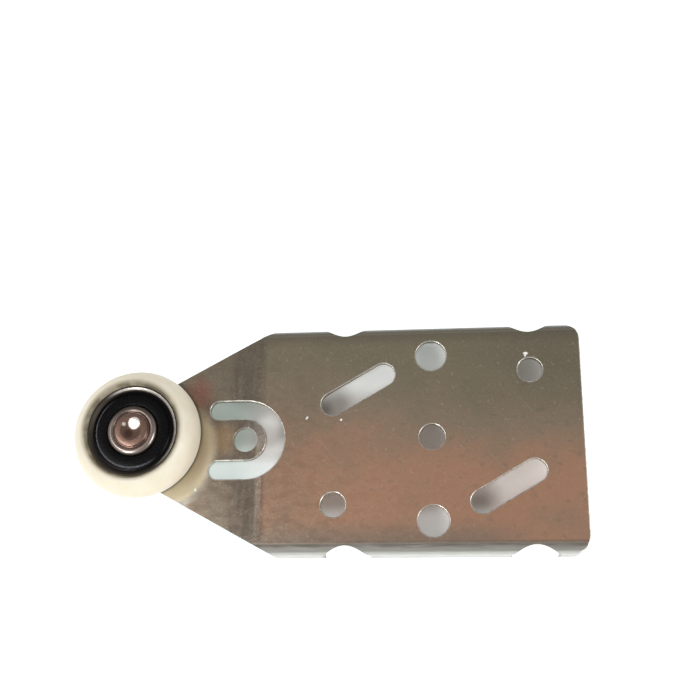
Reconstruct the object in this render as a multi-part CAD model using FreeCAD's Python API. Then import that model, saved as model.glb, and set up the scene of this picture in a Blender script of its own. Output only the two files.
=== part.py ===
import FreeCAD, Part
import math
import os

from FreeCAD import Vector

# Sliding door hanger: a folded steel plate with a ball bearing nylon roller riveted to its neck.
# Lengths are millimetres and angles are degrees. The origin is the centre hole on the plate's
# roller side face, +Z points out of that face, and the roller lies towards -X.

# Folded sheet
sheet_thickness = 1.5
bend_inner_radius = 0.9
plate_width = 56.5
flange_height = 10.0
far_edge_reach = 36.7
flange_start_reach = 39.3
corner_radius = 4.0
neck_end_radius = 9.5

# Set mark across the neck, a shallow fall that ends in a short rise
set_mark_depth = 0.15
set_mark_fall = 6.1
set_mark_rise = 1.4
set_mark_reach = 42.0

# Fixing holes and adjusting slots
centre_hole_diameter = 6.2
large_hole_diameter = 7.5
large_hole_spacing = 41.0
small_hole_diameter = 6.0
small_hole_reach = 24.3
small_hole_rise = 16.4
slot_width = 5.7
slot_length = 14.6
slot_angle = 30.0
slot_reach = 18.2
slot_rise = 12.3

# Spring tongue, freed from the neck by a U shaped slot
tongue_hole_diameter = 6.0
tongue_hole_reach = 46.3
tongue_width = 10.6
tongue_slot_width = 4.5
tongue_slot_straight = 6.8

# Round notches in the two bends
notch_radius = 6.0
notch_bite = 2.1
roller_end_notch_reach = 21.4
far_end_notch_reach = 24.2

# Roller tyre
axle_reach = 71.2
tyre_diameter = 31.0
tyre_width = 10.5
tread_crown_radius = 5.9
tyre_plate_gap = 3.2
tyre_mouth_chamfer = 0.62
tyre_rear_bore = 19.4
bearing_recess = 0.8
pocket_clearance = 0.03

# Ball bearing
bearing_outer_diameter = 22.0
bearing_bore = 8.0
bearing_width = 7.0
ring_chamfer = 0.3
ring_bevel_width = 0.8
inner_land_diameter = 12.1
outer_land_diameter = 17.8
ball_count = 7
ball_diameter = 3.969
ball_pitch_diameter = 15.0
race_radius_ratio = 0.52
race_clearance = 0.03
seal_outer_diameter = 19.6
seal_thickness = 0.6
seal_flange_thickness = 0.25
seal_shoulder_diameter = 17.8
seal_inset = 0.15
seal_lip_clearance = 0.1

# Ball cage, two pressed halves held by small rivets
cage_inner_diameter = 13.3
cage_outer_diameter = 16.7
cage_sheet = 0.35
cage_pocket_clearance = 0.08
cage_rivet_diameter = 0.7
cage_rivet_head_diameter = 1.2
cage_rivet_head_height = 0.25
cage_rivet_clearance = 0.02

# Axle rivet and spacer bush
shank_clearance = 0.05
spacer_diameter = 12.0
front_head_diameter = 11.9
front_head_foot = 0.3
front_bead_height = 0.8
front_groove_diameter = 8.7
front_groove_height = 0.5
boss_diameter = 8.2
boss_height = 1.2
boss_edge_radius = 0.45
dimple_diameter = 5.0
dimple_depth = 0.3
rear_head_diameter = 12.6
rear_head_rim = 0.5
rear_head_height = 1.8

# Length by which cutting tools stand clear of what they cut
tool_margin = 1.0

# Derived sizes
half_width = plate_width / 2
bend_outer_radius = bend_inner_radius + sheet_thickness
tyre_front = tyre_plate_gap + tyre_width
bearing_front = tyre_front - bearing_recess
bearing_rear = bearing_front - bearing_width
bearing_middle = bearing_front - bearing_width / 2
tyre_radius = tyre_diameter / 2
bearing_radius = bearing_outer_diameter / 2
bore_radius = bearing_bore / 2
inner_land = inner_land_diameter / 2
outer_land = outer_land_diameter / 2
ball_radius = ball_diameter / 2
ball_pitch_radius = ball_pitch_diameter / 2
race_radius = race_radius_ratio * ball_diameter
seal_radius = seal_outer_diameter / 2
seal_seat_depth = seal_inset + seal_thickness
ring_bevel_depth = seal_seat_depth - seal_flange_thickness
shank_radius = bore_radius - shank_clearance
axle = Vector(-axle_reach, 0, 0)
up = Vector(0, 0, 1)


def face_from(start, segments, place):
    """Closed face from a start point and its segments.

    A segment of two numbers is a straight line to that point, and one of four
    numbers is an arc through the first point to the second. The function place
    turns a pair of numbers into a point in space.
    """
    edges = []
    here = start
    for segment in segments + [start]:
        end = segment[-2:]
        if math.dist(here, end) > 1e-6:
            if len(segment) == 2:
                curve = Part.LineSegment(place(*here), place(*end))
            else:
                curve = Part.Arc(place(*here), place(*segment[:2]), place(*end))
            edges.append(curve.toShape())
        here = end
    return Part.Face(Part.Wire(edges))


def plan(x, y):
    return Vector(x, y, 0)


def side(x, z):
    return Vector(x, 0, z)


def section(y, z):
    return Vector(0, y, z)


def turned(start, segments):
    """Solid of revolution about the axle from a half section of radius and height."""
    solid = face_from(start, segments, side).revolve(Vector(), up, 360)
    solid.translate(axle)
    return solid


def drill(x, y, diameter):
    """Cutting cylinder straight through the sheet."""
    length = sheet_thickness + 2 * tool_margin
    return Part.makeCylinder(diameter / 2, length, Vector(x, y, -sheet_thickness - tool_margin))


def through_sheet(face):
    """Cutting prism straight through the sheet from a plan face."""
    face.translate(Vector(0, 0, -sheet_thickness - tool_margin))
    return face.extrude(Vector(0, 0, sheet_thickness + 2 * tool_margin))


def mirrored(shape):
    """The same shape on the other long side of the plate."""
    return shape.mirror(Vector(), Vector(0, 1, 0))


# Hanger plate

def plate_outline():
    """Plan outline: two tapers tangent to the round neck end, and a squared far end."""
    run = axle_reach - flange_start_reach
    lean = math.asin(neck_end_radius / math.hypot(run, half_width))
    taper = math.atan2(half_width, run) - lean
    neck_x = -axle_reach - neck_end_radius * math.sin(taper)
    neck_y = neck_end_radius * math.cos(taper)
    bevel = corner_radius * (1 - math.sqrt(0.5))
    far_x = far_edge_reach
    near_x = far_edge_reach - corner_radius
    top_y = half_width - corner_radius
    return face_from((neck_x, neck_y), [
        (-flange_start_reach, half_width),
        (near_x, half_width),
        (far_x - bevel, half_width - bevel, far_x, top_y),
        (far_x, -top_y),
        (far_x - bevel, bevel - half_width, near_x, -half_width),
        (-flange_start_reach, -half_width),
        (neck_x, -neck_y),
        (-axle_reach - neck_end_radius, 0, neck_x, neck_y),
    ], plan)


def folded_channel():
    """Web with a flange bent away from the roller side along each long edge."""
    outer = bend_outer_radius
    inner = bend_inner_radius
    bend_y = half_width - outer
    half_turn = math.sqrt(0.5)
    outside = (bend_y + outer * half_turn, -outer + outer * half_turn)
    inside = (bend_y + inner * half_turn, -outer + inner * half_turn)
    wall_y = half_width - sheet_thickness
    face = face_from((half_width, -flange_height), [
        (half_width, -outer),
        (*outside, bend_y, 0),
        (-bend_y, 0),
        (-outside[0], outside[1], -half_width, -outer),
        (-half_width, -flange_height),
        (-wall_y, -flange_height),
        (-wall_y, -outer),
        (-inside[0], inside[1], -bend_y, -sheet_thickness),
        (bend_y, -sheet_thickness),
        (*inside, wall_y, -outer),
        (wall_y, -flange_height),
    ], section)
    face.translate(Vector(-set_mark_reach, 0, 0))
    return face.extrude(Vector(set_mark_reach + far_edge_reach, 0, 0))


def neck_sheet():
    """Flat neck with the set mark pressed across it beside the flanges."""
    rise_x = -set_mark_reach
    low_x = rise_x - set_mark_rise
    fall_x = low_x - set_mark_fall
    fall_radius = (set_mark_fall ** 2 + set_mark_depth ** 2) / (2 * set_mark_depth)
    middle_x = fall_x + set_mark_fall / 2
    middle_z = math.sqrt(fall_radius ** 2 - (set_mark_fall / 2) ** 2) - fall_radius
    end_x = -axle_reach - neck_end_radius - tool_margin
    back = -sheet_thickness
    face = face_from((end_x, 0), [
        (fall_x, 0),
        (middle_x, middle_z, low_x, -set_mark_depth),
        (rise_x, 0),
        (rise_x, back),
        (low_x, back - set_mark_depth),
        (middle_x, back + middle_z, fall_x, back),
        (end_x, back),
    ], side)
    face.translate(Vector(0, -half_width, 0))
    return face.extrude(Vector(0, plate_width, 0))


def adjusting_slot(x, y):
    """Cutting prism of a round ended slot at the slot angle."""
    reach = slot_length / 2
    radius = slot_width / 2
    face = face_from((reach, -radius), [
        (reach + radius, 0, reach, radius),
        (-reach, radius),
        (-reach - radius, 0, -reach, -radius),
    ], plan)
    face.rotate(Vector(), up, slot_angle)
    face.translate(Vector(x, y, 0))
    return through_sheet(face)


def tongue_slot():
    """Cutting prism of the U shaped slot round the tongue, with round ends."""
    inner = tongue_width / 2
    outer = inner + tongue_slot_width
    middle = (inner + outer) / 2
    bend_x = -tongue_hole_reach
    end_x = bend_x - tongue_slot_straight
    tip_x = end_x - tongue_slot_width / 2
    return through_sheet(face_from((end_x, inner), [
        (bend_x, inner),
        (bend_x + inner, 0, bend_x, -inner),
        (end_x, -inner),
        (tip_x, -middle, end_x, -outer),
        (bend_x, -outer),
        (bend_x + outer, 0, bend_x, outer),
        (end_x, outer),
        (tip_x, middle, end_x, inner),
    ], plan))


def bend_notch(x):
    """Cutting cylinder along the diagonal of the bend, biting into the web's edge."""
    diagonal = Vector(0, 1, 1)
    diagonal.normalize()
    across = Vector(0, -1, 1)
    across.normalize()
    corner = Vector(x, half_width, 0)
    centre = corner + across * (notch_bite * math.sqrt(0.5) - notch_radius)
    half_length = flange_height + notch_radius
    return Part.makeCylinder(notch_radius, 2 * half_length, centre - diagonal * half_length, diagonal)


def hanger_plate():
    outline = plate_outline()
    outline.translate(Vector(0, 0, -flange_height - tool_margin))
    envelope = outline.extrude(Vector(0, 0, flange_height + 2 * tool_margin))
    sheet = folded_channel().fuse(neck_sheet()).common(envelope)
    notches = [bend_notch(-roller_end_notch_reach), bend_notch(far_end_notch_reach)]
    tools = [
        drill(0, 0, centre_hole_diameter),
        drill(0, large_hole_spacing / 2, large_hole_diameter),
        drill(0, -large_hole_spacing / 2, large_hole_diameter),
        drill(small_hole_reach, small_hole_rise, small_hole_diameter),
        drill(-small_hole_reach, -small_hole_rise, small_hole_diameter),
        adjusting_slot(-slot_reach, slot_rise),
        adjusting_slot(slot_reach, -slot_rise),
        drill(-tongue_hole_reach, 0, tongue_hole_diameter),
        tongue_slot(),
        drill(-axle_reach, 0, 2 * (shank_radius + shank_clearance)),
    ]
    tools += notches
    tools += [mirrored(notch) for notch in notches]
    return sheet.cut(tools).removeSplitter()


# Axle rivet and spacer bush

def cap_fall(reach, rise, distance):
    """Fall from the crown of a spherical cap at a distance from its axis."""
    radius = (reach ** 2 + rise ** 2) / (2 * rise)
    return radius - math.sqrt(radius ** 2 - distance ** 2)


def axle_rivet():
    """Solid rivet: a beaded front head with a dimpled boss, a plain shank and a domed rear head."""
    seat = bearing_front
    rim = front_head_diameter / 2
    groove = front_groove_diameter / 2
    top = seat + boss_height
    boss = boss_diameter / 2
    edge = boss_edge_radius
    edge_middle = edge * (1 - math.sqrt(0.5))
    dimple = dimple_diameter / 2
    dimple_floor = top - dimple_depth
    dimple_middle = dimple_floor + cap_fall(dimple, dimple_depth, dimple / 2)
    rear_rim = rear_head_diameter / 2
    rear_seat = -sheet_thickness
    rear_top = rear_seat - rear_head_height
    rear_edge = rear_seat - rear_head_rim
    rear_middle = rear_top + cap_fall(rear_rim, rear_head_height - rear_head_rim, rear_rim / 2)
    return turned((0, rear_top), [
        (rear_rim / 2, rear_middle, rear_rim, rear_edge),
        (rear_rim, rear_seat),
        (shank_radius, rear_seat),
        (shank_radius, seat),
        (rim, seat),
        (rim, seat + front_head_foot),
        ((rim + groove) / 2, seat + front_bead_height, groove, seat + front_groove_height),
        (boss, seat + front_groove_height),
        (boss, top - edge),
        (boss - edge_middle, top - edge_middle, boss - edge, top),
        (dimple, top),
        (dimple / 2, dimple_middle, 0, dimple_floor),
    ])


def spacer_bush():
    """Tube between the plate and the inner ring."""
    return turned((bore_radius, 0), [
        (spacer_diameter / 2, 0),
        (spacer_diameter / 2, bearing_rear),
        (bore_radius, bearing_rear),
    ])


# Roller tyre

def roller_tyre():
    """Nylon tyre with a crowned tread and a pocket for the bearing."""
    pocket = bearing_radius + pocket_clearance
    mouth = pocket + tyre_mouth_chamfer
    rear_bore = tyre_rear_bore / 2
    edge_drop = tread_crown_radius - math.sqrt(tread_crown_radius ** 2 - (tyre_width / 2) ** 2)
    edge = tyre_radius - edge_drop
    middle = tyre_plate_gap + tyre_width / 2
    return turned((rear_bore, tyre_plate_gap), [
        (edge, tyre_plate_gap),
        (tyre_radius, middle, edge, tyre_front),
        (mouth, tyre_front),
        (pocket, tyre_front - tyre_mouth_chamfer),
        (pocket, bearing_rear),
        (rear_bore, bearing_rear),
    ])


# Ball bearing

def race_half_width(land, centre):
    """Half the width of a race groove where it meets its land."""
    return math.sqrt(race_radius ** 2 - (land - centre) ** 2)


def bearing_outer_ring():
    """Outer ring with its race, and a bevel down to the seal on each side."""
    bottom = ball_pitch_radius + ball_radius + race_clearance
    half = race_half_width(outer_land, bottom - race_radius)
    bevel = seal_radius + ring_bevel_width
    return turned((bevel, bearing_rear), [
        (bearing_radius - ring_chamfer, bearing_rear),
        (bearing_radius, bearing_rear + ring_chamfer),
        (bearing_radius, bearing_front - ring_chamfer),
        (bearing_radius - ring_chamfer, bearing_front),
        (bevel, bearing_front),
        (seal_radius, bearing_front - ring_bevel_depth),
        (seal_radius, bearing_front - seal_seat_depth),
        (outer_land, bearing_front - seal_seat_depth),
        (outer_land, bearing_middle + half),
        (bottom, bearing_middle, outer_land, bearing_middle - half),
        (outer_land, bearing_rear + seal_seat_depth),
        (seal_radius, bearing_rear + seal_seat_depth),
        (seal_radius, bearing_rear + ring_bevel_depth),
    ])


def bearing_inner_ring():
    bottom = ball_pitch_radius - ball_radius - race_clearance
    half = race_half_width(inner_land, bottom + race_radius)
    return turned((bore_radius, bearing_rear), [
        (inner_land, bearing_rear),
        (inner_land, bearing_middle - half),
        (bottom, bearing_middle, inner_land, bearing_middle + half),
        (inner_land, bearing_front),
        (bore_radius, bearing_front),
    ])


def seal(seat, outward):
    """Stepped rubber seal on the outer ring's seat, with its lip just off the inner ring."""
    lip = inner_land + seal_lip_clearance
    shoulder = seal_shoulder_diameter / 2
    flange = seat + outward * seal_flange_thickness
    cover = seat + outward * seal_thickness
    return turned((lip, seat), [
        (seal_radius, seat),
        (seal_radius, flange),
        (shoulder, flange),
        (shoulder, cover),
        (lip, cover),
    ])


def ball_direction(index, offset=0.0):
    """Direction from the axle to a ball, or to the cage rivet half a pitch further round."""
    angle = 2 * math.pi * (index + offset) / ball_count
    return Vector(math.cos(angle), math.sin(angle), 0)


def ball_centre(index, offset=0.0):
    """Place of a ball, or of the cage rivet half a pitch further round."""
    return axle + ball_direction(index, offset) * ball_pitch_radius + up * bearing_middle


def ball(index):
    return Part.makeSphere(ball_radius, ball_centre(index))


def radial_cylinder(index, radius, start, end):
    """Cylinder along the radius through a ball's centre, between two distances from the axle."""
    direction = ball_direction(index)
    base = axle + direction * start + up * bearing_middle
    return Part.makeCylinder(radius, end - start, base, direction)


def cage_half(outward):
    """Pressed ring with an arched pocket over each ball and a rivet hole between pockets."""
    inner = cage_inner_diameter / 2
    outer = cage_outer_diameter / 2
    pocket = ball_radius + cage_pocket_clearance
    arch = pocket + cage_sheet
    flat = bearing_middle + outward * cage_sheet
    ring = turned((inner, bearing_middle), [
        (outer, bearing_middle),
        (outer, flat),
        (inner, flat),
    ])
    other_half = Part.makeCylinder(bearing_radius, arch, axle + up * bearing_middle, up * -outward)
    arches = [radial_cylinder(i, arch, inner, outer).cut(other_half) for i in range(ball_count)]
    tools = [radial_cylinder(i, pocket, 0, bearing_radius) for i in range(ball_count)]
    hole = cage_rivet_diameter / 2 + cage_rivet_clearance
    for i in range(ball_count):
        tools.append(Part.makeCylinder(hole, 2 * arch, ball_centre(i, 0.5) - up * arch))
    return ring.fuse(arches).cut(tools).removeSplitter()


def cage_rivets():
    """One small two headed rivet between each pair of balls."""
    shank = cage_rivet_diameter / 2
    head = cage_rivet_head_diameter / 2
    grip = cage_sheet + cage_rivet_head_height
    rivets = []
    for i in range(ball_count):
        spot = ball_centre(i, 0.5)
        pin = Part.makeCylinder(shank, 2 * grip, spot - up * grip)
        upper = Part.makeCylinder(head, cage_rivet_head_height, spot + up * cage_sheet)
        lower = Part.makeCylinder(head, cage_rivet_head_height, spot - up * grip)
        rivets.append(pin.fuse([upper, lower]).removeSplitter())
    return Part.makeCompound(rivets)


parts = {
    "hanger_plate": hanger_plate(),
    "axle_rivet": axle_rivet(),
    "spacer_bush": spacer_bush(),
    "roller_tyre": roller_tyre(),
    "bearing_outer_ring": bearing_outer_ring(),
    "bearing_inner_ring": bearing_inner_ring(),
    "front_seal": seal(bearing_front - seal_seat_depth, 1),
    "rear_seal": seal(bearing_rear + seal_seat_depth, -1),
    "cage_front_half": cage_half(1),
    "cage_rear_half": cage_half(-1),
    "cage_rivets": cage_rivets(),
}
for number in range(ball_count):
    parts[f"ball_{number + 1}"] = ball(number)

os.makedirs("parts", exist_ok=True)
for node, shape in parts.items():
    solids = len(shape.Solids)
    print(f"{node}: {solids} solid(s), valid {shape.isValid()}, {shape.Volume:.2f} mm3")
    shape.exportStep(f"parts/{node}.step")
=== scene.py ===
import bmesh
import bpy
import math
from mathutils import Matrix, Vector


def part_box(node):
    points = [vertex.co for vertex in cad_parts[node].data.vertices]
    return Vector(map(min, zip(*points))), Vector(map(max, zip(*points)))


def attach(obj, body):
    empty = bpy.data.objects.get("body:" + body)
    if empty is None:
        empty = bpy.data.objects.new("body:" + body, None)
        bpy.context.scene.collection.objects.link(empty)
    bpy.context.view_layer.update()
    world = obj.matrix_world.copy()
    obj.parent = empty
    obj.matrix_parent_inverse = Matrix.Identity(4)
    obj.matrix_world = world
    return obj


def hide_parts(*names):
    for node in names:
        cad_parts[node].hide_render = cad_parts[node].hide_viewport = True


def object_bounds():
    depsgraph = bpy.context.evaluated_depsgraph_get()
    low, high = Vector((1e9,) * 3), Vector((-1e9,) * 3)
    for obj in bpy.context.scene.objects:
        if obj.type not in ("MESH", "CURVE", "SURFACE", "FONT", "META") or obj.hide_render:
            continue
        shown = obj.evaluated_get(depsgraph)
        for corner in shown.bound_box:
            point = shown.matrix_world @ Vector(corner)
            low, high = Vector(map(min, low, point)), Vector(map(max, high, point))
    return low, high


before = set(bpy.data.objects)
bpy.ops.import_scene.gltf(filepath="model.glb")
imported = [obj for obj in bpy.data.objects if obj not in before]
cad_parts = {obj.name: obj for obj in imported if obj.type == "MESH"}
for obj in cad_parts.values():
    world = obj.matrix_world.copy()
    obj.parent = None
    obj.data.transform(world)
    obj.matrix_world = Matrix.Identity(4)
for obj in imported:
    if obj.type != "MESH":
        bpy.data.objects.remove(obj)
cad_low, cad_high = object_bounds()

# Sizes in metres. What the frame holds is read from it, and the rest is named here.
MM = 0.001
ROUND_STEPS = 256
BALL_STEPS = 64
FILLET_STEPS = 5
FILLET_SHARE = 0.45
ARC_STEPS = 24
TREAD_STEPS = 48
ON_AXIS = 1e-9
SAME_POINT = 1e-7
FLAT_WEIGHT = 100

SHEET = 1.5 * MM
PLATE_EDGE = 0.28 * MM
PLATE_EDGE_SEGMENTS = 3
ROUND_PROFILE = 0.5
SHARP_EDGE = math.radians(35)
FLAT_JOIN = math.radians(0.4)

TREAD_CROWN = 5.9 * MM
TYRE_MOUTH_CHAMFER = 0.62 * MM
TYRE_REAR_BORE = 19.4 * MM / 2
TYRE_EDGE = 0.25 * MM

BEARING_BORE = 8.0 * MM / 2
RING_EDGE = 0.28 * MM
RING_BEVEL = 0.8 * MM
RING_BEVEL_DEPTH = 0.5 * MM
OUTER_LAND = 17.8 * MM / 2
INNER_RING_EDGE = 0.15 * MM
RACE_RATIO = 0.52
RACE_GAP = 0.03 * MM

SEAL_LIP_GAP = 0.1 * MM
SEAL_SHOULDER = 17.8 * MM / 2
SEAL_FLANGE = 0.25 * MM
SEAL_EDGE = 0.3 * MM

SHANK = 7.9 * MM / 2
HEAD = 11.9 * MM / 2
HEAD_FOOT = 0.3 * MM
BEAD_HEIGHT = 0.8 * MM
GROOVE = 8.7 * MM / 2
GROOVE_HEIGHT = 0.5 * MM
BOSS = 8.2 * MM / 2
BOSS_EDGE = 0.45 * MM
DIMPLE = 5.0 * MM / 2
DIMPLE_DEPTH = 0.3 * MM
REAR_HEAD_RIM = 0.5 * MM
SMALL_EDGE = 0.12 * MM


def axle_of(node):
    """Centre of a turned node, at height zero."""
    low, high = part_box(node)
    return Vector(((low.x + high.x) / 2, (low.y + high.y) / 2, 0))


def radius_of(node):
    """Outer radius of a turned node."""
    low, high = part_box(node)
    return (high.y - low.y) / 2


def heights_of(node):
    """Lowest and highest point of a node."""
    low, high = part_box(node)
    return low.z, high.z


# Meshes

def fillet(before, corner, after, radius):
    """Points of a tangent arc that rounds one corner of a flat outline."""
    to_before = (before - corner).normalized()
    to_after = (after - corner).normalized()
    half = to_before.angle(to_after) / 2
    longest = FILLET_SHARE * min((before - corner).length, (after - corner).length)
    reach = min(radius / math.tan(half), longest)
    radius = reach * math.tan(half)
    centre = corner + (to_before + to_after).normalized() * (radius / math.sin(half))
    start = corner + to_before * reach - centre
    end = corner + to_after * reach - centre
    turn = start.angle_signed(end)
    turns = [-turn * i / FILLET_STEPS for i in range(FILLET_STEPS + 1)]
    return [centre + Matrix.Rotation(angle, 2) @ start for angle in turns]


def rounded(corners):
    """Closed half section of radius and height. A third number at a corner rounds it by that radius."""
    points = [Vector(corner[:2]) for corner in corners]
    outline = []
    for i, corner in enumerate(corners):
        if len(corner) == 3:
            outline += fillet(points[i - 1], points[i], points[(i + 1) % len(points)], corner[2])
        else:
            outline.append(points[i])
    return outline


def arc(centre, radius, start, end, steps):
    """Corners along an arc of a half section, from one angle to another."""
    turn = (end - start) / steps
    angles = [start + turn * i for i in range(steps + 1)]
    return [(centre[0] + radius * math.cos(a), centre[1] + radius * math.sin(a)) for a in angles]


def bead(outer, inner, crown):
    """Corners of a round bead from its outer foot over a crown height to its inner foot."""
    a, b = Vector(outer), Vector(inner)
    top = Vector(((a.x + b.x) / 2, crown))
    chords = Matrix((top - a, b - a))
    centre = a + chords.inverted() @ Vector(((top - a).length_squared / 2, (b - a).length_squared / 2))
    start = math.atan2(a.y - centre.y, a.x - centre.x)
    end = math.atan2(b.y - centre.y, b.x - centre.x)
    return arc(centre, (a - centre).length, start, end, ARC_STEPS)


def bowl(reach, floor, depth):
    """Corners of a spherical hollow, from its rim in to its floor on the axis."""
    radius = (reach ** 2 + depth ** 2) / (2 * depth)
    shares = [1 - i / ARC_STEPS for i in range(ARC_STEPS + 1)]
    return [(reach * s, floor + radius - math.sqrt(radius ** 2 - (reach * s) ** 2)) for s in shares]


def turned(name, corners, node, body, slot, material, steps=ROUND_STEPS):
    """New piece turned about the axle, standing for a CAD node."""
    mesh = bmesh.new()
    rings = []
    angles = [2 * math.pi * i / steps for i in range(steps)]
    for point in rounded(corners):
        if point.x < ON_AXIS:
            rings.append([mesh.verts.new((0, 0, point.y))] * steps)
        else:
            ring = [(point.x * math.cos(a), point.x * math.sin(a), point.y) for a in angles]
            rings.append([mesh.verts.new(place) for place in ring])
    for here, there in zip(rings, rings[1:] + rings[:1]):
        for i in range(steps):
            j = (i + 1) % steps
            face = list(dict.fromkeys([here[i], here[j], there[j], there[i]]))
            if len(face) > 2:
                mesh.faces.new(face)
    bmesh.ops.recalc_face_normals(mesh, faces=mesh.faces)
    return placed(name, mesh, axle_of(node), node, body, slot, material)


def placed(name, mesh, location, node, body, slot, *materials):
    """Object from a bmesh, smoothly shaded, riding on a body in place of a CAD node."""
    for face in mesh.faces:
        face.smooth = True
    data = bpy.data.meshes.new(name)
    mesh.to_mesh(data)
    mesh.free()
    for material in materials:
        data.materials.append(material)
    piece = bpy.data.objects.new(name, data)
    piece.location = location
    bpy.context.scene.collection.objects.link(piece)
    normals = piece.modifiers.new("flat faces stay flat", "WEIGHTED_NORMAL")
    normals.keep_sharp = True
    normals.weight = FLAT_WEIGHT
    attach(piece, body)
    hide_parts(node)
    return piece


def edge_loops(edges):
    """Groups of edges that hang together."""
    waiting = set(edges)
    groups = []
    for edge in edges:
        if edge in waiting:
            waiting.remove(edge)
            group = [edge]
            for member in group:
                near = [e for corner in member.verts for e in corner.link_edges if e in waiting]
                waiting.difference_update(near)
                group += list(dict.fromkeys(near))
            groups.append(group)
    return groups


def edge_rounded(name, node, body, slot, material, edge_material):
    """Copy of a CAD node's mesh with its sharp edges rounded, in a material of their own."""
    mesh = bmesh.new()
    mesh.from_mesh(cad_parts[node].data)
    bmesh.ops.remove_doubles(mesh, verts=mesh.verts, dist=SAME_POINT)
    bmesh.ops.dissolve_limit(mesh, angle_limit=FLAT_JOIN, verts=mesh.verts, edges=mesh.edges)
    for loop in edge_loops([edge for edge in mesh.edges if edge.calc_face_angle(0) > SHARP_EDGE]):
        bmesh.ops.bevel(
            mesh,
            geom=loop,
            offset=PLATE_EDGE,
            segments=PLATE_EDGE_SEGMENTS,
            profile=ROUND_PROFILE,
            affect="EDGES",
            clamp_overlap=True,
            material=1,
        )
    return placed(name, mesh, (0, 0, 0), node, body, slot, material, edge_material)


# Materials

# Scratches are noise stretched along their length, each direction with a field of its own
SCRATCH_STRETCH = 0.04
SCRATCH_STEP = (70, 30)
SCRATCH_SOFT = 0.06


class Paint:
    """Lays out the nodes of one procedural material. Lengths in it are millimetres."""

    def __init__(self, name):
        self.material = bpy.data.materials.new(name)
        self.material.use_nodes = True
        self.tree = self.material.node_tree
        self.shader = self.tree.nodes["Principled BSDF"]
        self.place = self.node("ShaderNodeTexCoord").outputs["Object"]

    def node(self, kind, **settings):
        made = self.tree.nodes.new(kind)
        for key, value in settings.items():
            setattr(made, key, value)
        return made

    def feed(self, socket, value):
        if isinstance(value, bpy.types.NodeSocket):
            self.tree.links.new(value, socket)
        else:
            socket.default_value = value

    def set(self, **values):
        """Puts constants or node outputs on the shader's own sockets."""
        for key, value in values.items():
            self.feed(self.shader.inputs[key.replace("_", " ").title()], value)

    def mapped(self, scale=(1, 1, 1), turn=0.0, centre=(0, 0)):
        """Object coordinates in millimetres from a centre, turned about Z and stretched."""
        made = self.node("ShaderNodeMapping", vector_type="TEXTURE")
        self.feed(made.inputs["Vector"], self.place)
        made.inputs["Location"].default_value = (centre[0] * MM, centre[1] * MM, 0)
        made.inputs["Rotation"].default_value = (0, 0, turn)
        made.inputs["Scale"].default_value = [MM / s for s in scale]
        return made.outputs["Vector"]

    def noise(self, vector, scale, detail=2.0, roughness=0.5, distortion=0.0):
        made = self.node("ShaderNodeTexNoise")
        self.feed(made.inputs["Vector"], vector)
        made.inputs["Scale"].default_value = scale
        made.inputs["Detail"].default_value = detail
        made.inputs["Roughness"].default_value = roughness
        made.inputs["Distortion"].default_value = distortion
        return made.outputs["Fac"]

    def math(self, operation, a, b=0.0, clamp=False):
        made = self.node("ShaderNodeMath", operation=operation, use_clamp=clamp)
        self.feed(made.inputs[0], a)
        self.feed(made.inputs[1], b)
        return made.outputs["Value"]

    def times(self, *factors):
        product = factors[0]
        for factor in factors[1:]:
            product = self.math("MULTIPLY", product, factor)
        return product

    def span(self, value, low, high, to_low=0.0, to_high=1.0, smooth=True):
        """Maps a value from one range to another, and keeps it there."""
        kind = "SMOOTHSTEP" if smooth else "LINEAR"
        made = self.node("ShaderNodeMapRange", interpolation_type=kind)
        self.feed(made.inputs["Value"], value)
        made.inputs["From Min"].default_value = low
        made.inputs["From Max"].default_value = high
        made.inputs["To Min"].default_value = to_low
        made.inputs["To Max"].default_value = to_high
        return made.outputs["Result"]

    def band(self, value, low, high, soft):
        """Mask that is one between two values, with soft ends."""
        rise = self.span(value, low - soft, low + soft)
        fall = self.span(value, high + soft, high - soft)
        return self.times(rise, fall)

    def axis(self, vector, name):
        made = self.node("ShaderNodeSeparateXYZ")
        self.feed(made.inputs["Vector"], vector)
        return made.outputs[name]

    def radius(self, vector):
        """Distance from the Z axis."""
        x = self.axis(vector, "X")
        y = self.axis(vector, "Y")
        return self.math("SQRT", self.math("ADD", self.times(x, x), self.times(y, y)))

    def near(self, centre, inside, outside, stretch=(1, 1, 1), turn=0.0):
        """Round mask about a place, full up to one radius and gone at the other."""
        return self.span(self.radius(self.mapped(stretch, turn, centre)), outside, inside)

    def ramp(self, value, stops):
        made = self.node("ShaderNodeValToRGB")
        self.feed(made.inputs["Fac"], value)
        elements = made.color_ramp.elements
        while len(elements) < len(stops):
            elements.new(0.5)
        for element, (position, color) in zip(elements, stops):
            element.position = position
            element.color = (*color, 1)
        return made.outputs["Color"]

    def mix(self, share, a, b):
        made = self.node("ShaderNodeMix", data_type="RGBA")
        self.feed(made.inputs[0], share)
        self.feed(made.inputs[6], a if isinstance(a, bpy.types.NodeSocket) else (*a, 1))
        self.feed(made.inputs[7], b if isinstance(b, bpy.types.NodeSocket) else (*b, 1))
        return made.outputs[2]

    def bump(self, height, depth, normal=None):
        """Bump of a height signal, its full range being a depth in millimetres."""
        made = self.node("ShaderNodeBump")
        made.inputs["Distance"].default_value = depth * MM
        self.feed(made.inputs["Height"], height)
        if normal is not None:
            self.feed(made.inputs["Normal"], normal)
        return made.outputs["Normal"]

    def scratches(self, angles, fineness, cover):
        """Mask of long thin lines in several directions."""
        total = None
        for number, angle in enumerate(angles):
            centre = (SCRATCH_STEP[0] * number, SCRATCH_STEP[1] * number)
            lines = self.noise(self.mapped((SCRATCH_STRETCH, fineness, 1), angle, centre), 1.0, 1.0)
            mask = self.span(lines, cover, cover + SCRATCH_SOFT)
            total = mask if total is None else self.math("MAXIMUM", total, mask)
        return total


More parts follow.
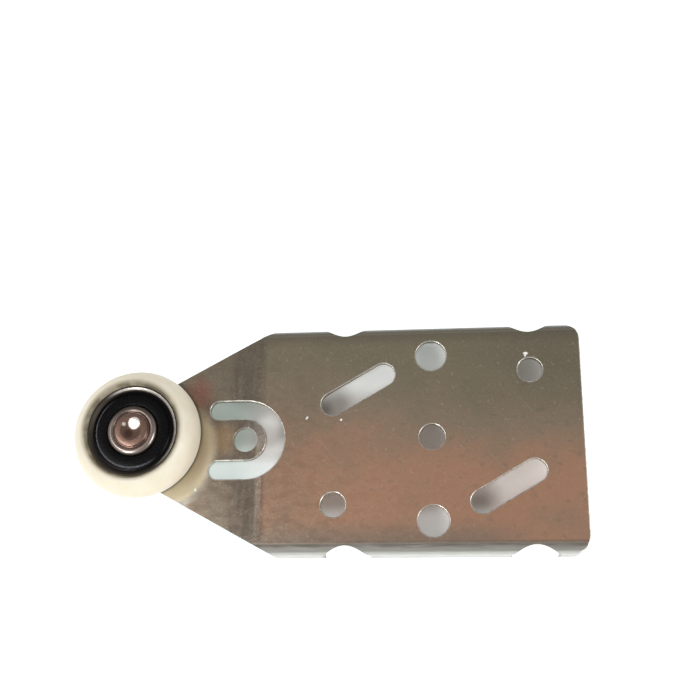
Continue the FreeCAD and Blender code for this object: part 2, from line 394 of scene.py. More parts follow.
# Colours of the plate
OLIVE = (0.33, 0.292, 0.207)
TAN = (0.43, 0.335, 0.245)
COPPER = (0.66, 0.375, 0.25)
NECK_BROWN = (0.25, 0.17, 0.12)
NECK_GREY = (0.27, 0.225, 0.175)
FAR_OLIVE = (0.235, 0.215, 0.155)
RUST = (0.37, 0.2, 0.148)
ROOT_TAN = (0.48, 0.335, 0.205)
TIP_PAINTED_REFLECTION = (0.5, 0.45, 0.42)
EDGE_GREY = (0.33, 0.285, 0.235)
PAINTED_REFLECTION_ZINC = (0.93, 0.885, 0.77)
ROLLER_PAINTED_SHADE = (0.13, 0.11, 0.085)
SET_MARK_PAINTED_SHADE = (0.2, 0.165, 0.13)
RISE_PAINTED_SHADE = (0.16, 0.125, 0.1)
PALE_SPECKLE = (0.62, 0.55, 0.45)
DARK_BLOTCH = (0.2, 0.175, 0.13)
PALE_FLECK = (0.72, 0.6, 0.48)
SCRATCHED_ZINC = (0.8, 0.74, 0.64)
TOP_EDGE_PAINTED_SHADE = (0.2, 0.185, 0.145)
TOP_BEND_PAINTED_SHADE = (0.11, 0.1, 0.08)
BEND_EDGE_PAINTED_SHADE = (0.33, 0.27, 0.22)
BEND_INSIDE_PAINTED_SHADE = (0.18, 0.165, 0.145)
BEND_OUTSIDE = (0.42, 0.415, 0.385)
FLANGE_WALL = (0.43, 0.425, 0.405)
BEND_GRAIN = (0.45, 0.44, 0.41)
PAINTED_GLINT_WHITE = (0.93, 0.92, 0.89)
WORN_DARK = (0.40, 0.37, 0.31)
WORN_BRIGHT = (0.72, 0.70, 0.65)

# Places on the plate in millimetres from the centre hole, and reaches about them
BEND_START = 25.9
PLATE_SIDE = 28.25
BEND_FOOT = -2.4
# Painted shade, streaked, across the set mark and its rise
SET_MARK_SHADE_FROM, SET_MARK_SHADE_TO = -50.2, -43.8
RISE_FROM, RISE_TO = -43.6, -41.7
NECK_END = -42.5
# Patch where the tyre's reflection shows: a real reflection, made brighter by painted colour
TYRE_REFLECTION_SPOT = (-70.0, -2.5)
TYRE_REFLECTION_REACH = (14.5, 17.8)
TYRE_REFLECTION_TOP = (10.0, 3.5)
FRONT_FACE = (-1.0, -0.4)
RUST_SPOT = (-58.4, 11.8)
# Painted shade on the plate under the roller, beside the tyre
ROLLER_SHADE_SPOT = (-73.9, 1.85)
ROLLER_SHADE_REACH = (16.15, 17.1)
TONGUE_ROOT = (-51.8, 0.2)
TONGUE_TIP = (-43.6, 1.4)
# Each painted glint has a place, a half length, a slimness and a direction in degrees, and a share of it
# is full
GLINT_CORE = 0.55
PAINTED_GLINTS = [
    (23.4, 20.55, 0.78, 1.6, 4),
    (23.3, 20.0, 0.4, 1.2, 80),
    (-30.9, 5.2, 0.6, 2.0, 60),
    (-22.4, 4.6, 0.42, 1.3, 30),
    (-58.4, -12.4, 0.55, 1.5, 75),
]


def web_tint(paint, spot, tyre_reflection, front):
    """Olive to copper bloom over the flat of the plate, with painted reflection in its slope, on the
    tongue's tip and under the roller.
    """
    x = paint.axis(spot, "X")
    y = paint.axis(spot, "Y")
    # Painted reflection: olive towards the top of the plate, copper towards the bottom
    painted_reflection_slope = paint.span(y, 24, -14)
    drift = paint.math("SUBTRACT", paint.noise(spot, 0.035, 2.0, 0.6, 0.6), 0.5)
    mottle = paint.math("SUBTRACT", paint.noise(spot, 0.13, 4.0, 0.6), 0.5)
    bloom = paint.math("ADD", painted_reflection_slope, paint.times(drift, 0.9))
    bloom = paint.math("ADD", bloom, paint.times(mottle, 0.55))
    bloom = paint.math("SUBTRACT", bloom, paint.span(x, NECK_END + 1, NECK_END - 1, 0.0, 0.4), True)
    tint = paint.ramp(bloom, [
        (0.0, OLIVE),
        (0.5, TAN),
        (1.0, COPPER),
    ])
    near_neck = paint.times(paint.span(x, -12, NECK_END, 0.0, 0.3), paint.span(y, 20, 4, 0.2, 1.0))
    tint = paint.mix(near_neck, tint, NECK_BROWN)
    neck = paint.span(x, NECK_END + 1, NECK_END - 1, 0.0, 0.7)
    tint = paint.mix(neck, tint, NECK_GREY)
    far_top = paint.times(paint.span(x, 0, 34), paint.span(y, -2, 20), 0.5)
    tint = paint.mix(far_top, tint, FAR_OLIVE)
    rust = paint.times(paint.near(RUST_SPOT, 1.0, 5.0, (0.95, 0.8, 1)), front)
    tint = paint.mix(rust, tint, RUST)
    tint = paint.mix(paint.near(TONGUE_ROOT, 1.5, 5.0, (0.8, 1, 1)), tint, ROOT_TAN)
    # Painted reflection on the tongue's bent tip
    tint = paint.mix(paint.times(paint.near(TONGUE_TIP, 2.4, 4.6), 0.6), tint, TIP_PAINTED_REFLECTION)
    low_edge = paint.times(paint.span(y, -19, -25, 0.0, 0.65), paint.span(x, 28, 8))
    tint = paint.mix(low_edge, tint, EDGE_GREY)
    # Brighter, smoother metal under the roller for the tyre's reflection, its brightness painted
    return paint.mix(paint.times(tyre_reflection, 0.95), tint, PAINTED_REFLECTION_ZINC)


def glint_mask(paint):
    """Painted glints, small bright spots ragged at their edges."""
    total = None
    for x, y, length, slimness, turn in PAINTED_GLINTS:
        mask = paint.near((x, y), GLINT_CORE * length, length, (1, slimness, 1), math.radians(turn))
        total = mask if total is None else paint.math("MAXIMUM", total, mask)
    ragged = paint.noise(paint.mapped(), 4.0, 2.0)
    return paint.times(total, paint.span(ragged, 0.3, 0.5))


def neck_marks(paint, spot, tint, front):
    """Painted shade on the plate under the roller, and streaky painted shade across the set mark and its
    rise.
    """
    x = paint.axis(spot, "X")
    y = paint.axis(spot, "Y")
    # Painted shade under the roller, beside the tyre
    roller_shade = paint.times(paint.near(ROLLER_SHADE_SPOT, *ROLLER_SHADE_REACH), front, 0.8)
    tint = paint.mix(roller_shade, tint, ROLLER_PAINTED_SHADE)
    streaks = paint.noise(paint.mapped((1.1, 0.1, 1)), 1.0, 3.0)
    streaky = paint.span(streaks, 0.3, 0.65, 0.2, 0.75)
    # Painted shade across the set mark, where its bends reflect darker
    darkening = paint.times(paint.band(x, SET_MARK_SHADE_FROM, SET_MARK_SHADE_TO, 1.6), streaky)
    tint = paint.mix(darkening, tint, SET_MARK_PAINTED_SHADE)
    # Painted shade on the rise
    rise = paint.times(paint.band(x, RISE_FROM, RISE_TO, 1.1), paint.span(y, -2, -10, 0.5, 0.85))
    return paint.mix(rise, tint, RISE_PAINTED_SHADE)


def worn_tint(paint, spot, tint, off_reflection, speckle, blotch, lines):
    """Speckles, blotches, flecks and scratches of a used surface, with less on the patch where the
    tyre's reflection shows.
    """
    tint = paint.mix(paint.span(speckle, 0.5, 0.75, 0.0, 0.3), tint, PALE_SPECKLE)
    blotched = paint.times(paint.span(blotch, 0.5, 0.72, 0.0, 0.36), off_reflection)
    tint = paint.mix(blotched, tint, DARK_BLOTCH)
    flecks = paint.noise(paint.mapped((1.4, 0.7, 1), 0.6), 0.9, 2.0, 0.6)
    off_neck = paint.span(paint.axis(spot, "X"), NECK_END - 2, NECK_END + 2, 0.3, 1.0)
    flecked = paint.times(off_reflection, off_neck, paint.span(flecks, 0.62, 0.74, 0.0, 0.4))
    tint = paint.mix(flecked, tint, PALE_FLECK)
    return paint.mix(paint.times(lines, 0.1), tint, SCRATCHED_ZINC)


def top_bend_tint(paint, spot, tint):
    """Painted shade along the top edge and bend, dull and dark."""
    y = paint.axis(spot, "Y")
    above_foot = paint.span(paint.axis(spot, "Z"), BEND_FOOT - 2.6, BEND_FOOT + 1.4)
    edge_shade = paint.times(paint.span(y, BEND_START - 3, BEND_START + 0.5), above_foot)
    tint = paint.mix(paint.times(edge_shade, 0.55), tint, TOP_EDGE_PAINTED_SHADE)
    top_bend = paint.times(paint.span(y, BEND_START + 0.1, BEND_START + 0.8), above_foot)
    return paint.mix(paint.times(top_bend, 0.8), tint, TOP_BEND_PAINTED_SHADE), top_bend


def low_bend_tint(paint, spot, tint):
    """Painted shade at the start of the low bend, turning to grey over the bend and its flange. Gives
    the tint and how much rougher the bend is.
    """
    y = paint.axis(spot, "Y")
    z = paint.axis(spot, "Z")
    # Painted shade along the start of the bend
    bend_edge = paint.span(y, -BEND_START + 1.1, -BEND_START + 0.5)
    tint = paint.mix(paint.times(bend_edge, 0.7), tint, BEND_EDGE_PAINTED_SHADE)
    low_bend = paint.span(y, -BEND_START + 0.6, -BEND_START - 0.2)
    turn_up = paint.span(y, -BEND_START - 0.1, -PLATE_SIDE + 0.2)
    # Painted shade inside the turn, lighter grey outside it
    grey = paint.mix(turn_up, BEND_INSIDE_PAINTED_SHADE, BEND_OUTSIDE)
    grey = paint.mix(paint.span(z, BEND_FOOT + 0.7, BEND_FOOT), grey, FLANGE_WALL)
    grain = paint.noise(paint.mapped((0.15, 4.0, 4.0)), 1.0, 3.0)
    grey = paint.mix(paint.span(grain, 0.4, 0.75, 0.0, 0.4), grey, BEND_GRAIN)
    rougher = paint.times(low_bend, paint.span(turn_up, 0, 1, 0.42, 0.2))
    return paint.mix(low_bend, tint, grey), rougher


def zinc_material():
    """Zinc plated sheet with a coppery bloom, painted shade and reflection, rolling grain, scratches and
    painted glints.
    """
    paint = Paint("zinc plated sheet")
    spot = paint.mapped()
    front = paint.span(paint.axis(spot, "Z"), *FRONT_FACE)
    below_top = paint.span(paint.axis(spot, "Y"), *TYRE_REFLECTION_TOP)
    # Patch of the tyre's reflection, brightened by painted colour
    tyre_reflection = paint.times(paint.near(TYRE_REFLECTION_SPOT, *TYRE_REFLECTION_REACH), below_top, front)
    off_reflection = paint.span(tyre_reflection, 0, 1, 1, 0.1)
    speckle = paint.noise(spot, 2.2, 2.0, 0.7)
    blotch = paint.noise(paint.mapped((0.8, 1.3, 1)), 0.4, 3.0, 0.65)
    lines = paint.scratches((0.2, 1.1, 2.3), 3.0, 0.73)
    tint = web_tint(paint, spot, tyre_reflection, front)
    tint = neck_marks(paint, spot, tint, front)
    tint = worn_tint(paint, spot, tint, off_reflection, speckle, blotch, lines)
    tint, top_bend = top_bend_tint(paint, spot, tint)
    tint, rougher = low_bend_tint(paint, spot, tint)
    # Painted glints: small bright matte spots
    glints = paint.times(glint_mask(paint), front)
    dull = paint.math("MAXIMUM", glints, paint.times(top_bend, 0.9))
    tint = paint.mix(glints, tint, PAINTED_GLINT_WHITE)
    paint.set(base_color=tint, metallic=paint.span(dull, 0, 1, 1, 0))
    finish = paint.math("SUBTRACT", paint.span(blotch, 0.3, 0.7, 0.2, 0.3), paint.times(tyre_reflection, 0.12))
    finish = paint.math("ADD", finish, paint.times(lines, 0.06))
    paint.set(roughness=paint.math("ADD", finish, rougher))
    waves = paint.bump(paint.noise(spot, 0.09, 1.0), 0.05)
    grain = paint.bump(paint.noise(paint.mapped((0.5, 3.0, 1)), 1.0, 3.0), 0.003, waves)
    paint.set(normal=paint.bump(speckle, 0.002, grain))
    return paint.material


def worn_edge_material():
    """Brighter zinc on the sheared and worn edges of the sheet."""
    paint = Paint("worn zinc edge")
    wear = paint.noise(paint.mapped(), 1.1, 3.0, 0.6)
    tint = paint.ramp(wear, [(0.35, WORN_DARK), (0.6, WORN_BRIGHT)])
    paint.set(base_color=tint, metallic=1.0, roughness=paint.span(wear, 0.3, 0.7, 0.38, 0.26))
    paint.set(normal=paint.bump(wear, 0.01))
    return paint.material


IVORY_DEEP = (0.80, 0.72, 0.58)
IVORY_PALE = (0.86, 0.785, 0.65)
IVORY_FLECK = (0.68, 0.62, 0.5)
MOUTH_PAINTED_SHADE = (0.15, 0.125, 0.075)
# How far red, green and blue light spreads in the nylon, in metres
SCATTER_REACH = (0.0055, 0.0044, 0.0032)
# Where painted shade lies in the tyre's mouth round the bearing, in millimetres from the axle
MOUTH_SHADE_CENTRE = (-0.12, 0.25)
MOUTH_SHADE_REACH = (11.2, 12.9)


def nylon_material():
    """Ivory nylon, cloudy and translucent, with painted shade in its mouth round the bearing, and faint
    turning rings.
    """
    paint = Paint("ivory nylon")
    spot = paint.mapped()
    cloud = paint.noise(spot, 0.25, 3.0)
    tint = paint.ramp(cloud, [(0.3, IVORY_DEEP), (0.7, IVORY_PALE)])
    fleck = paint.noise(spot, 3.0, 2.0)
    tint = paint.mix(paint.span(fleck, 0.62, 0.75, 0.0, 0.2), tint, IVORY_FLECK)
    reach = paint.radius(spot)
    # Painted shade in the mouth, shifted towards the upper left
    mouth_shade_mask = paint.near(MOUTH_SHADE_CENTRE, *MOUTH_SHADE_REACH)
    mouth_shade = paint.times(mouth_shade_mask, paint.span(cloud, 0.3, 0.6, 0.7, 1.0))
    tint = paint.mix(mouth_shade, tint, MOUTH_PAINTED_SHADE)
    paint.set(base_color=tint, roughness=paint.span(cloud, 0.3, 0.7, 0.34, 0.46))
    paint.set(subsurface_weight=0.8, subsurface_radius=SCATTER_REACH, subsurface_scale=1.0)
    rings = paint.math("SINE", paint.times(reach, 26.0))
    paint.set(normal=paint.bump(fleck, 0.006, paint.bump(rings, 0.0015)))
    return paint.material


GROUND_DEEP = (0.62, 0.58, 0.53)
GROUND_PALE = (0.76, 0.72, 0.67)
RING_PAINTED_SHADE = (0.045, 0.037, 0.03)
# Radii of the band with the painted highlight, in millimetres
RING_HIGHLIGHT_BAND = (10.18, 10.64)
# Direction towards the side with the ring's painted highlight; the seal's painted highlight lies on the
# other side
HIGHLIGHT_SIDE = (0.8, 0.6)


def highlight_side(paint, spot):
    """Millimetres towards the side of the bearing with the ring's painted highlight."""
    along_x = paint.times(paint.axis(spot, "X"), HIGHLIGHT_SIDE[0])
    along_y = paint.times(paint.axis(spot, "Y"), HIGHLIGHT_SIDE[1])
    return paint.math("ADD", along_x, along_y)


def ring_steel_material():
    """Bearing steel with a painted highlight on a narrow band on one side, and painted shade elsewhere.
    """
    paint = Paint("ground bearing steel")
    spot = paint.mapped()
    reach = paint.radius(spot)
    rings = paint.math("SINE", paint.times(reach, 40.0))
    cloud = paint.noise(spot, 0.6, 3.0)
    bright = paint.ramp(cloud, [(0.3, GROUND_DEEP), (0.7, GROUND_PALE)])
    # Painted highlight on one side of the band, painted shade on the rest of the ring
    highlight_share = paint.span(highlight_side(paint, spot), -1.5, 5, 0.02, 1.0)
    painted_highlight = paint.times(paint.band(reach, *RING_HIGHLIGHT_BAND, 0.12), highlight_share)
    paint.set(base_color=paint.mix(painted_highlight, RING_PAINTED_SHADE, bright), metallic=1.0)
    finish = paint.span(cloud, 0.3, 0.7, 0.42, 0.5)
    paint.set(roughness=paint.math("SUBTRACT", finish, paint.times(painted_highlight, 0.22)))
    paint.set(normal=paint.bump(rings, 0.0008))
    return paint.material


RUBBER_BLACK = (0.0018, 0.0015, 0.0018)
RUBBER_DUSTY = (0.008, 0.007, 0.007)
SEAL_PAINTED_HIGHLIGHT = (0.15, 0.15, 0.17)
RUBBER_SPECULAR = 0.09
# Radii of the painted highlight on the seal's shoulder, in millimetres
SEAL_HIGHLIGHT_BAND = (8.72, 9.06)


def rubber_material():
    """Black moulded rubber with faint rings and dust, and a painted highlight on its shoulder."""
    paint = Paint("black seal rubber")
    spot = paint.mapped()
    dust = paint.noise(spot, 2.5, 3.0, 0.7)
    tint = paint.ramp(dust, [(0.5, RUBBER_BLACK), (0.85, RUBBER_DUSTY)])
    reach = paint.radius(spot)
    rings = paint.math("SINE", paint.times(reach, 18.0))
    # Painted highlight on the shoulder, on the side away from the ring's highlight
    off_highlight_side = paint.span(highlight_side(paint, spot), 2, -4)
    seal_highlight_share = paint.times(off_highlight_side, paint.span(dust, 0.35, 0.6, 0.3, 1.0))
    seal_highlight = paint.times(paint.band(reach, *SEAL_HIGHLIGHT_BAND, 0.1), seal_highlight_share)
    tint = paint.mix(seal_highlight, tint, SEAL_PAINTED_HIGHLIGHT)
    paint.set(base_color=tint, roughness=paint.span(dust, 0.3, 0.8, 0.2, 0.36))
    paint.shader.inputs["Specular IOR Level"].default_value = RUBBER_SPECULAR
    paint.set(normal=paint.bump(dust, 0.0015, paint.bump(rings, 0.0015)))
    return paint.material


RIVET_GREY = (0.32, 0.275, 0.25)
RIVET_BROWN = (0.24, 0.152, 0.124)
RIVET_DEEP_BROWN = (0.22, 0.135, 0.106)
RIVET_TOP_PAINTED_SHADE = (0.07, 0.055, 0.045)
DIMPLE_PAINTED_SHADE = (0.11, 0.065, 0.047)
DIMPLE_PAINTED_HIGHLIGHT = (0.92, 0.88, 0.83)
# Places of painted shade and painted highlights in the rivet's dimple, in millimetres from the axle
DIMPLE_HIGHLIGHT_SPOT = (0.72, 1.55)
DIMPLE_SECOND_HIGHLIGHT = (-1.75, 1.35)
DIMPLE_SHADE_SPOT = (-0.55, -0.85)


def rivet_material():
    """Formed rivet steel, brown and stained towards its dimple, with painted shade on the top of its
    bead and low in its dimple, and painted highlights in the dimple.
    """
    paint = Paint("formed rivet steel")
    spot = paint.mapped()
    reach = paint.radius(spot)
    cloud = paint.noise(spot, 0.7, 3.0)
    darkening = paint.math("ADD", paint.span(reach, 5.9, 2.0), paint.times(cloud, 0.4), True)
    tint = paint.ramp(darkening, [
        (0.2, RIVET_GREY),
        (0.7, RIVET_BROWN),
        (1.0, RIVET_DEEP_BROWN),
    ])
    # Painted shade on the top of the bead
    top_bead_shade = paint.times(paint.span(paint.axis(spot, "Y"), 1.0, 4.5), paint.span(reach, 3.9, 4.4))
    tint = paint.mix(paint.times(top_bead_shade, 0.7), tint, RIVET_TOP_PAINTED_SHADE)
    # Painted shade low in the dimple
    tint = paint.mix(paint.near(DIMPLE_SHADE_SPOT, 0.5, 1.6), tint, DIMPLE_PAINTED_SHADE)
    # Painted highlights in the dimple
    second_highlight = paint.near(DIMPLE_SECOND_HIGHLIGHT, 0.3, 0.6)
    painted_highlight = paint.math("MAXIMUM", paint.near(DIMPLE_HIGHLIGHT_SPOT, 1.3, 1.6), second_highlight)
    front = paint.span(paint.axis(spot, "Z"), 0, 1)
    tint = paint.mix(paint.times(painted_highlight, front), tint, DIMPLE_PAINTED_HIGHLIGHT)
    rings = paint.math("SINE", paint.times(reach, 22.0))
    finish = paint.math("ADD", paint.span(reach, 2.2, 3.0, 0.16, 0.22), paint.times(cloud, 0.08))
    paint.set(base_color=tint, metallic=1.0, roughness=finish)
    paint.set(normal=paint.bump(cloud, 0.003, paint.bump(rings, 0.001)))
    return paint.material


PRESSED_DEEP = (0.42, 0.4, 0.37)
PRESSED_PALE = (0.56, 0.54, 0.5)


def pressed_steel_material():
    """Plain bright steel of the spacer and of the parts inside the bearing."""
    paint = Paint("pressed bright steel")
    spot = paint.mapped()
    grain = paint.noise(spot, 1.8, 3.0)
    tint = paint.ramp(grain, [(0.3, PRESSED_DEEP), (0.7, PRESSED_PALE)])
    paint.set(base_color=tint, metallic=1.0, roughness=paint.span(grain, 0.3, 0.7, 0.18, 0.32))
    paint.set(normal=paint.bump(grain, 0.003))
    return paint.material


# Pieces

def tyre_piece(material):
    """Nylon tyre with a round tread and a soft mouth round the bearing."""
    low, high = heights_of("roller_tyre")
    outer = radius_of("roller_tyre")
    pocket = radius_of("bearing_outer_ring")
    seat = heights_of("bearing_outer_ring")[0]
    middle = (low + high) / 2
    swing = math.asin((high - middle) / TREAD_CROWN)
    tread = arc((outer - TREAD_CROWN, middle), TREAD_CROWN, -swing, swing, TREAD_STEPS)
    return turned("tyre_moulded", [
        (TYRE_REAR_BORE, low, TYRE_EDGE),
        (*tread[0], TYRE_EDGE),
        *tread[1:-1],
        (*tread[-1], TYRE_EDGE),
        (pocket + TYRE_MOUTH_CHAMFER, high, TYRE_EDGE),
        (pocket, high - TYRE_MOUTH_CHAMFER, TYRE_EDGE),
        (pocket, seat),
        (TYRE_REAR_BORE, seat, TYRE_EDGE),
    ], "roller_tyre", "wheel", "nylon", material)


def race(land, bottom, middle, inward):
    """Corners of a ball race, rear to front in an inner ring and front to rear in an outer one."""
    low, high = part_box("ball_1")
    radius = RACE_RATIO * (high.z - low.z)
    centre = bottom + radius if inward else bottom - radius
    swing = math.acos(abs(land - centre) / radius)
    if inward:
        return arc((centre, middle), radius, math.pi + swing, math.pi - swing, ARC_STEPS)
    return arc((centre, middle), radius, swing, -swing, ARC_STEPS)


def ball_reach():
    """Inner and outer reach of the balls from the axle."""
    low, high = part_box("ball_1")
    axle = axle_of("bearing_outer_ring")
    return low.x - axle.x, high.x - axle.x


def outer_ring_piece(material):
    """Outer ring with a bevel down to each seal."""
    low, high = heights_of("bearing_outer_ring")
    outer = radius_of("bearing_outer_ring")
    seal = radius_of("front_seal")
    front_seat = heights_of("front_seal")[0]
    rear_seat = heights_of("rear_seal")[1]
    bottom = ball_reach()[1] + RACE_GAP
    return turned("outer_ring_ground", [
        (seal + RING_BEVEL, low, SMALL_EDGE),
        (outer, low, RING_EDGE),
        (outer, high, RING_EDGE),
        (seal + RING_BEVEL, high, SMALL_EDGE),
        (seal, high - RING_BEVEL_DEPTH, SMALL_EDGE),
        (seal, front_seat),
        (OUTER_LAND, front_seat),
        *race(OUTER_LAND, bottom, (low + high) / 2, False),
        (OUTER_LAND, rear_seat),
        (seal, rear_seat),
        (seal, low + RING_BEVEL_DEPTH, SMALL_EDGE),
    ], "bearing_outer_ring", "wheel", "bearing_steel", material)


def inner_ring_piece(material):
    """Inner ring with its ball race."""
    low, high = heights_of("bearing_inner_ring")
    land = radius_of("bearing_inner_ring")
    bottom = ball_reach()[0] - RACE_GAP
    return turned("inner_ring_ground", [
        (BEARING_BORE, low),
        (land, low, INNER_RING_EDGE),
        *race(land, bottom, (low + high) / 2, True),
        (land, high, INNER_RING_EDGE),
        (BEARING_BORE, high),
    ], "bearing_inner_ring", "plate", "bearing_steel", material)


def seal_piece(name, node, seat, face, material):
    """Rubber seal with a rounded shoulder and lip, between its seat and its outer face."""
    outer = radius_of(node)
    lip = radius_of("bearing_inner_ring") + SEAL_LIP_GAP
    flange = seat + math.copysign(SEAL_FLANGE, face - seat)
    return turned(name, [
        (lip, seat),
        (outer, seat),
        (outer, flange, SMALL_EDGE),
        (SEAL_SHOULDER, flange),
        (SEAL_SHOULDER, face, SEAL_EDGE),
        (lip, face, SEAL_EDGE),
    ], node, "wheel", "seal_rubber", material)


def rivet_piece(material):
    """Rivet with a beaded front head, a dimpled boss, a plain shank and a domed rear head."""
    low, high = heights_of("axle_rivet")
    seat = heights_of("bearing_inner_ring")[1]
    rear = radius_of("axle_rivet")
    rear_edge = -SHEET - REAR_HEAD_RIM
    return turned("rivet_formed", [
        *reversed(bowl(rear, low, rear_edge - low)),
        (rear, -SHEET),
        (SHANK, -SHEET),
        (SHANK, seat),
        (HEAD, seat),
        *bead((HEAD, seat + HEAD_FOOT), (GROOVE, seat + GROOVE_HEIGHT), seat + BEAD_HEIGHT),
        (BOSS, seat + GROOVE_HEIGHT, SMALL_EDGE),
        (BOSS, high, BOSS_EDGE),
        (DIMPLE, high, SMALL_EDGE),
        *bowl(DIMPLE, high - DIMPLE_DEPTH, DIMPLE_DEPTH)[1:],
    ], "axle_rivet", "plate", "rivet_steel", material)


def ball_piece(node, material):
    """Ball, closed at both poles."""
    low, high = heights_of(node)
    half_round = arc((0, (low + high) / 2), (high - low) / 2, -math.pi / 2, math.pi / 2, ARC_STEPS)
    body = f"{node}_body"
    return turned(f"{node}_ground", half_round, node, body, "bearing_steel", material, BALL_STEPS)


def spacer_piece(material):
    """Plain tube between the plate and the bearing."""
    low, high = heights_of("spacer_bush")
    outer = radius_of("spacer_bush")
    return turned("spacer_turned", [
        (BEARING_BORE, low),
        (outer, low, SMALL_EDGE),
        (outer, high, SMALL_EDGE),
        (BEARING_BORE, high),
    ], "spacer_bush", "plate", "rivet_steel", material)


ring_steel = ring_steel_material()
rubber = rubber_material()
bright_steel = pressed_steel_material()

edge_rounded(
    "plate_folded", "hanger_plate", "plate", "zinc_steel", zinc_material(), worn_edge_material()
)
tyre_piece(nylon_material())
outer_ring_piece(ring_steel)
inner_ring_piece(ring_steel)
seal_piece("front_seal_moulded", "front_seal", *heights_of("front_seal"), rubber)
seal_piece("rear_seal_moulded", "rear_seal", *reversed(heights_of("rear_seal")), rubber)
rivet_piece(rivet_material())
spacer_piece(bright_steel)

for node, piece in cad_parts.items():
    if node.startswith("ball_"):
        ball_piece(node, bright_steel)
    if node.startswith("cage_"):
        piece.material_slots[0].material = bright_steel


# Stage

TABLE_RADIUS = 6.0
TABLE_COLOR = (0.95, 0.95, 0.94)
TABLE_GLOW = 0.66
TABLE_GLOW_COLOR = (0.9, 0.99, 1, 1)
# Glow under the plate: low there as painted shade, higher at its sides and under its neck as painted
# light
TABLE_GLOW_UNDER = 0.05
TABLE_GLOW_SIDES = 0.25
TABLE_GLOW_NECK = 0.46
# Painted cool tint under the neck, standing for cooler light there
TABLE_NECK_PAINTED_TINT = (0.78, 0.93, 0.9)
TABLE_COLOR_DEEP = (0.38, 0.35, 0.32)
# Where painted shade and painted light change the table's glow and colour under the plate, in
# millimetres
SHADE_ENDS = (-66, 33)
SHADE_TOP, SHADE_LOW = 28.0, -25.5
TOP_LIGHT = (11.5, 16.5)
LOW_LIGHT = (-14.5, -18.5)
FAR_SHADE = (12, 18)
NECK_SPAN = (-66, -40)
NECK_COLOR_SPAN = (-42, -51)
NECK_GLOW_SPAN = (-37, -41)
NECK_SHADE_TOP = 6.0
NECK_SHADE_LOW = -3.0
# Each deep shade is painted on the table, with a place, a full reach, an outer reach and a depth
DEEP_SHADES = [
    (-28.2, 9.5, 0.3, 3.9, 1.0),
    (10.6, -15.2, 1.0, 5.2, 0.75),
    (24.9, 20.3, 3.5, 6.5, 0.55),
]


def table():
    """White table that keeps the part's shadow, with painted shade under the plate, painted light at its
    sides and under its neck, and a painted cool tint under the neck.
    """
    bpy.ops.mesh.primitive_circle_add(
        vertices=ROUND_STEPS, radius=TABLE_RADIUS, fill_type="NGON", location=(0, 0, cad_low.z)
    )
    top = bpy.context.object
    top.name = "table"
    paint = Paint("white table")
    spot = paint.mapped()
    x = paint.axis(spot, "X")
    y = paint.axis(spot, "Y")
    # Painted shade under the plate, painted light at its sides and under its neck
    upper = paint.span(x, *NECK_SPAN, NECK_SHADE_TOP, SHADE_TOP, smooth=False)
    inside = paint.times(
        paint.band(x, *SHADE_ENDS, 2.0),
        paint.span(paint.math("SUBTRACT", upper, y), -1.5, 2.5),
        paint.span(y, SHADE_LOW - 1.5, SHADE_LOW + 2.5),
    )
    sides = paint.math("MAXIMUM", paint.span(y, *TOP_LIGHT), paint.span(y, *LOW_LIGHT))
    sides = paint.times(sides, paint.span(x, *FAR_SHADE, 1.0, 0.0))
    shade = paint.span(sides, 0, 1, TABLE_GLOW_UNDER, TABLE_GLOW_SIDES, smooth=False)
    low_side = paint.span(y, NECK_SHADE_LOW + 2, NECK_SHADE_LOW - 2)
    low_neck = paint.times(paint.span(x, *NECK_GLOW_SPAN), low_side)
    shade = paint.math("MAXIMUM", shade, paint.times(low_neck, TABLE_GLOW_NECK))
    open_glow = paint.span(inside, 0, 1, TABLE_GLOW, 0.0, smooth=False)
    glow = paint.math("ADD", paint.times(inside, shade), open_glow)
    rays = paint.node("ShaderNodeLightPath").outputs
    mirrored = paint.math("MAXIMUM", rays["Is Glossy Ray"], rays["Is Transmission Ray"])
    seen = paint.math("MAXIMUM", rays["Is Camera Ray"], mirrored)
    # Painted cool tint under the neck
    neck_painted_tint = paint.times(paint.span(x, *NECK_COLOR_SPAN), inside)
    color = paint.mix(neck_painted_tint, TABLE_COLOR, TABLE_NECK_PAINTED_TINT)
    for shade_x, shade_y, full, outer, depth in DEEP_SHADES:
        deep = paint.times(paint.near((shade_x, shade_y), full, outer), depth)
        color = paint.mix(deep, color, TABLE_COLOR_DEEP)
    paint.set(base_color=color, roughness=1.0, emission_color=TABLE_GLOW_COLOR)
    paint.set(emission_strength=paint.times(glow, seen))
    paint.shader.inputs["Specular IOR Level"].default_value = 0.0
    top.data.materials.append(paint.material)


CAMERA_PLACE = Vector((6.45, -53.4, 253.15)) * MM
CAMERA_TARGET = Vector((-20.243, 22.567, 0)) * MM
CAMERA_RIGHT = Vector((0.99461, 0.00432, -0.10357))
CAMERA_LENS = 54.194
CAMERA_SENSOR = 36.0
CAMERA_NEAR = 0.01


def camera():
    """Camera at the photograph's viewing angle."""
    data = bpy.data.cameras.new("photo view")
    data.lens = CAMERA_LENS
    data.sensor_width = CAMERA_SENSOR
    data.clip_start = CAMERA_NEAR
    view = bpy.data.objects.new("photo view", data)
    back = (CAMERA_PLACE - CAMERA_TARGET).normalized()
    right = (CAMERA_RIGHT - back * CAMERA_RIGHT.dot(back)).normalized()
    up = back.cross(right)
    turn = Matrix((right, up, back)).transposed().to_4x4()
    view.matrix_world = Matrix.Translation(CAMERA_PLACE) @ turn
    bpy.context.scene.collection.objects.link(view)
    bpy.context.scene.camera = view


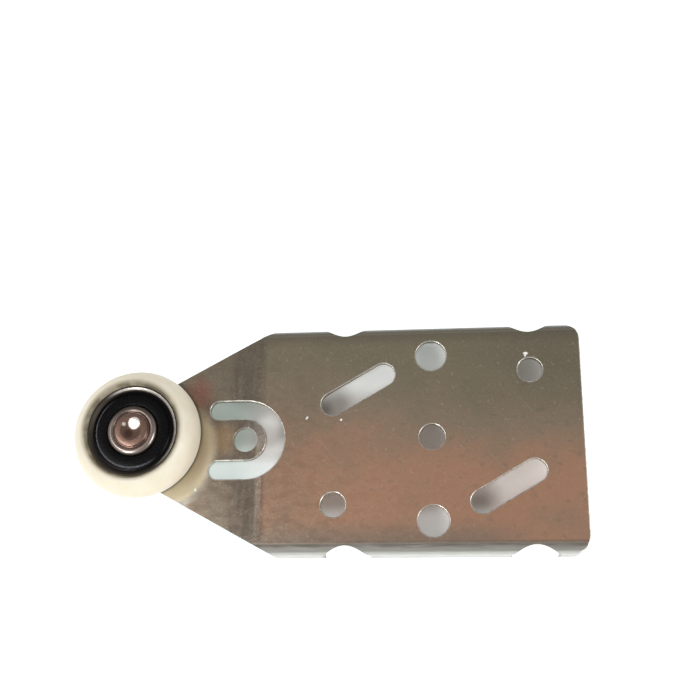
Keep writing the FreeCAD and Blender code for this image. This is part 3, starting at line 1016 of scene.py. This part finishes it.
def lamp(name, toward, distance, size, power):
    """Round soft lamp that shines on the origin from a direction."""
    data = bpy.data.lights.new(name, "AREA")
    data.shape = "DISK"
    data.size = size
    data.energy = power
    made = bpy.data.objects.new(name, data)
    made.location = Vector(toward).normalized() * distance
    made.rotation_euler = Vector(toward).to_track_quat("Z", "Y").to_euler()
    bpy.context.scene.collection.objects.link(made)


BRIGHT_SIDE = Vector((0.3, -1, 0)).normalized()
BRIGHT_FROM, BRIGHT_FULL = -0.9, 0.35
ROOM_BRIGHT = (0.57, 0.565, 0.557)
ROOM_DIM = (0.42, 0.414, 0.404)
ROOM_OVERHEAD = (0.46, 0.45, 0.44)
OVERHEAD_FROM, OVERHEAD_FULL = 0.45, 0.85


def room():
    """Plain room, brighter towards the bottom of the picture and dimmer overhead and behind."""
    world = bpy.data.worlds.new("plain room")
    bpy.context.scene.world = world
    world.use_nodes = True
    nodes = world.node_tree.nodes
    links = world.node_tree.links
    direction = nodes.new("ShaderNodeTexCoord").outputs["Generated"]
    toward = nodes.new("ShaderNodeVectorMath")
    toward.operation = "DOT_PRODUCT"
    toward.inputs[1].default_value = BRIGHT_SIDE
    links.new(direction, toward.inputs[0])
    share = nodes.new("ShaderNodeMapRange")
    share.inputs["From Min"].default_value = BRIGHT_FROM
    share.inputs["From Max"].default_value = BRIGHT_FULL
    links.new(toward.outputs["Value"], share.inputs["Value"])
    walls = nodes.new("ShaderNodeValToRGB")
    walls.color_ramp.elements[0].color = (*ROOM_DIM, 1)
    walls.color_ramp.elements[1].color = (*ROOM_BRIGHT, 1)
    links.new(share.outputs["Result"], walls.inputs["Fac"])
    split = nodes.new("ShaderNodeSeparateXYZ")
    links.new(direction, split.inputs["Vector"])
    rise = nodes.new("ShaderNodeMapRange")
    rise.interpolation_type = "SMOOTHSTEP"
    rise.inputs["From Min"].default_value = OVERHEAD_FROM
    rise.inputs["From Max"].default_value = OVERHEAD_FULL
    links.new(split.outputs["Z"], rise.inputs["Value"])
    sky = nodes.new("ShaderNodeMix")
    sky.data_type = "RGBA"
    links.new(rise.outputs["Result"], sky.inputs[0])
    links.new(walls.outputs["Color"], sky.inputs[6])
    sky.inputs[7].default_value = (*ROOM_OVERHEAD, 1)
    links.new(sky.outputs[2], nodes["Background"].inputs["Color"])


table()
camera()
lamp("soft key", toward=(-0.66, -0.75, 1.19), distance=0.7, size=0.2, power=1.6)
lamp("side fill", toward=(0.8, -0.3, 0.7), distance=0.7, size=0.35, power=1.7)
lamp("ceiling lamp", toward=(-0.525, -0.055, 0.85), distance=0.545, size=0.163, power=0.5)
room()
bpy.context.scene.view_settings.view_transform = "Standard"
